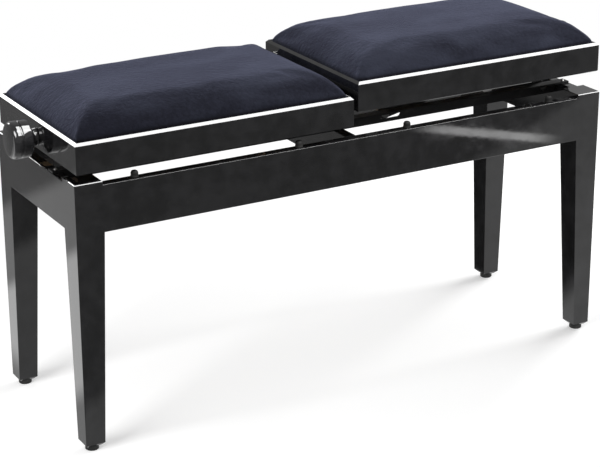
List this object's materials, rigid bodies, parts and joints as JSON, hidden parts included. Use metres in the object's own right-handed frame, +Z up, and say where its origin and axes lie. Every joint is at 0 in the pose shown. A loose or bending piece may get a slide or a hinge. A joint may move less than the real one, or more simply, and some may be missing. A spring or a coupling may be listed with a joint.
{
  "type": "piano bench",
  "caption": "Double piano bench with side-by-side cushioned seats, each raised by its own knob on a scissor lift over a shared four-legged base.",
  "frame": {"origin": "on the floor, under the middle of the bench", "axes": "+Z up, X along the bench with +X at the higher seat's end, Y across it with the front at -Y"},
  "size_m": [1.06, 0.312, 0.5673],
  "materials": {
    "lacquer": "black high-gloss lacquer",
    "velvet": "dark slate velvet",
    "plywood": "bare plywood",
    "block_wood": "stained beech block",
    "knob_gloss": "black polished knob",
    "track_steel": "black painted steel",
    "arm_steel": "black painted steel bar",
    "zinc_steel": "bright zinc plated steel",
    "bumper_rubber": "black rubber",
    "glide_plastic": "black nylon"
  },
  "bodies": {
    "base": {"leg_front_left": "lacquer", "leg_front_right": "lacquer", "leg_rear_right": "lacquer", "leg_rear_left": "lacquer", "apron_front": "lacquer", "apron_rear": "lacquer", "end_rail_left": "lacquer", "end_rail_right": "lacquer", "center_rail": "lacquer", "corner_blocks": "block_wood", "leg_bolts": "zinc_steel", "foot_glides": "glide_plastic", "seat_bumpers": "bumper_rubber", "base_track_front_left": "track_steel", "base_track_rear_left": "track_steel", "base_track_front_right": "track_steel", "base_track_rear_right": "track_steel", "base_track_screws": "zinc_steel"},
    "seat_left": {"rim_front_left": "lacquer", "rim_rear_left": "lacquer", "rim_outer_left": "lacquer", "rim_inner_left": "lacquer", "seat_board_left": "plywood", "cushion_left": "velvet", "seat_track_front_left": "track_steel", "seat_track_rear_left": "track_steel", "bearing_plate_left": "track_steel", "seat_screws_left": "zinc_steel", "hinge_pins_left": "zinc_steel"},
    "adjuster_left": {"knob_left": "knob_gloss", "spindle_left": "zinc_steel"},
    "nut_left": {"nut_bar_left": "zinc_steel"},
    "lift_arms_left": {"lift_arm_front_left": "arm_steel", "lift_arm_rear_left": "arm_steel", "lift_shaft_left": "zinc_steel", "cross_pins_left": "zinc_steel"},
    "follow_arms_left": {"follow_arm_front_left": "arm_steel", "follow_arm_rear_left": "arm_steel", "roller_shaft_left": "zinc_steel"},
    "seat_right": {"rim_front_right": "lacquer", "rim_rear_right": "lacquer", "rim_outer_right": "lacquer", "rim_inner_right": "lacquer", "seat_board_right": "plywood", "cushion_right": "velvet", "seat_track_front_right": "track_steel", "seat_track_rear_right": "track_steel", "bearing_plate_right": "track_steel", "seat_screws_right": "zinc_steel", "hinge_pins_right": "zinc_steel"},
    "adjuster_right": {"knob_right": "knob_gloss", "spindle_right": "zinc_steel"},
    "nut_right": {"nut_bar_right": "zinc_steel"},
    "lift_arms_right": {"lift_arm_front_right": "arm_steel", "lift_arm_rear_right": "arm_steel", "lift_shaft_right": "zinc_steel", "cross_pins_right": "zinc_steel"},
    "follow_arms_right": {"follow_arm_front_right": "arm_steel", "follow_arm_rear_right": "arm_steel", "roller_shaft_right": "zinc_steel"}
  },
  "joints": [
    {"name": "left_seat_lift", "type": "slide", "parent": "base", "child": "seat_left", "axis": [0, 0, 1], "range_m": [-0.0077, 0.082]},
    {"name": "left_knob_turn", "type": "hinge", "parent": "seat_left", "child": "adjuster_left", "pos_m": [-0.483, 0, 0.476], "axis": [-1, 0, 0], "range_deg": [-119.57, 1225.14]},
    {"name": "left_nut_travel", "type": "slide", "parent": "seat_left", "child": "nut_left", "axis": [-1, 0, 0], "range_m": [-0.0021, 0.0205]},
    {"name": "left_lift_arms_turn", "type": "hinge", "parent": "base", "child": "lift_arms_left", "pos_m": [-0.443, 0, 0.431], "axis": [0, -1, 0], "range_deg": [-1.48, 14.81]},
    {"name": "left_follow_arms_turn", "type": "hinge", "parent": "seat_left", "child": "follow_arms_left", "pos_m": [-0.443, 0, 0.476], "axis": [0, 1, 0], "range_deg": [-1.48, 14.81]},
    {"name": "right_seat_lift", "type": "slide", "parent": "base", "child": "seat_right", "axis": [0, 0, 1], "range_m": [-0.0307, 0.059]},
    {"name": "right_knob_turn", "type": "hinge", "parent": "seat_right", "child": "adjuster_right", "pos_m": [0.483, 0, 0.499], "axis": [1, 0, 0], "range_deg": [-478.34, 914.68]},
    {"name": "right_nut_travel", "type": "slide", "parent": "seat_right", "child": "nut_right", "axis": [1, 0, 0], "range_m": [-0.0081, 0.0154]},
    {"name": "right_lift_arms_turn", "type": "hinge", "parent": "base", "child": "lift_arms_right", "pos_m": [0.443, 0, 0.431], "axis": [0, 1, 0], "range_deg": [-5.62, 10.71]},
    {"name": "right_follow_arms_turn", "type": "hinge", "parent": "seat_right", "child": "follow_arms_right", "pos_m": [0.443, 0, 0.499], "axis": [0, -1, 0], "range_deg": [-5.62, 10.71]}
  ],
  "couplings": [
    {"joint": "left_knob_turn", "follows": "left_seat_lift", "rad_per_m": 259.7},
    {"joint": "left_nut_travel", "follows": "left_seat_lift", "ratio": 0.248},
    {"joint": "left_lift_arms_turn", "follows": "left_seat_lift", "rad_per_m": 3.13},
    {"joint": "left_follow_arms_turn", "follows": "left_seat_lift", "rad_per_m": 3.13},
    {"joint": "right_knob_turn", "follows": "right_seat_lift", "rad_per_m": 269.1},
    {"joint": "right_nut_travel", "follows": "right_seat_lift", "ratio": 0.257},
    {"joint": "right_lift_arms_turn", "follows": "right_seat_lift", "rad_per_m": 3.14},
    {"joint": "right_follow_arms_turn", "follows": "right_seat_lift", "rad_per_m": 3.14}
  ]
}
